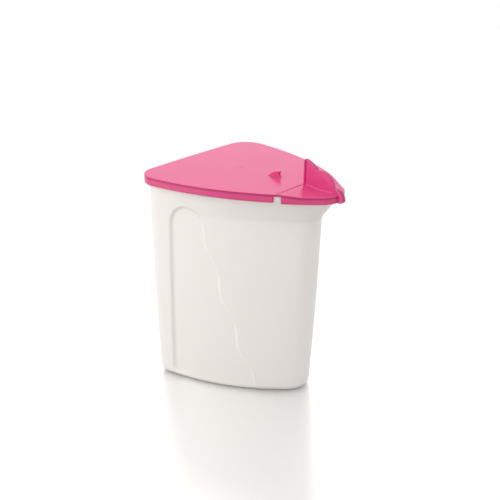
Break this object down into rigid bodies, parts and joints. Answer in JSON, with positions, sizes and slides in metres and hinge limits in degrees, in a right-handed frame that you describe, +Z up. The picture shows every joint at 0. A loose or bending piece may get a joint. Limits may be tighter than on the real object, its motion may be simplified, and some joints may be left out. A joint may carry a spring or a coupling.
{
  "type": "cereal container with flip spout",
  "caption": "Tall teardrop-plan food keeper with a push-on skirted lid, a hinged pour flap with an upright thumb fin over a flared beak, and a finger recess in each side.",
  "frame": {"origin": "a point on the flat base, on the middle plane, near the middle of the base", "axes": "+Z up, +X towards the pour spout, Y across the width; the part is symmetric about the XZ plane"},
  "size_m": [0.2111, 0.18, 0.2676],
  "materials": {
    "natural_polypropylene": "milky translucent natural polypropylene with a soft satin surface",
    "pink_polypropylene": "satin pink polypropylene, slightly translucent at thin edges"
  },
  "bodies": {
    "container": {"container": "natural_polypropylene"},
    "lid": {"lid": "pink_polypropylene", "living_hinge": "pink_polypropylene"},
    "spout_flap": {"spout_flap": "pink_polypropylene"}
  },
  "joints": [
    {"name": "lid_lift", "type": "slide", "parent": "container", "child": "lid", "axis": [0, 0, 1], "range_m": [0, 0.06]},
    {"name": "flap_hinge", "type": "hinge", "parent": "lid", "child": "spout_flap", "pos_m": [0.0755, 0, 0.23925], "axis": [0, -1, 0], "range_deg": [0, 90], "deforming": ["living_hinge"]}
  ]
}
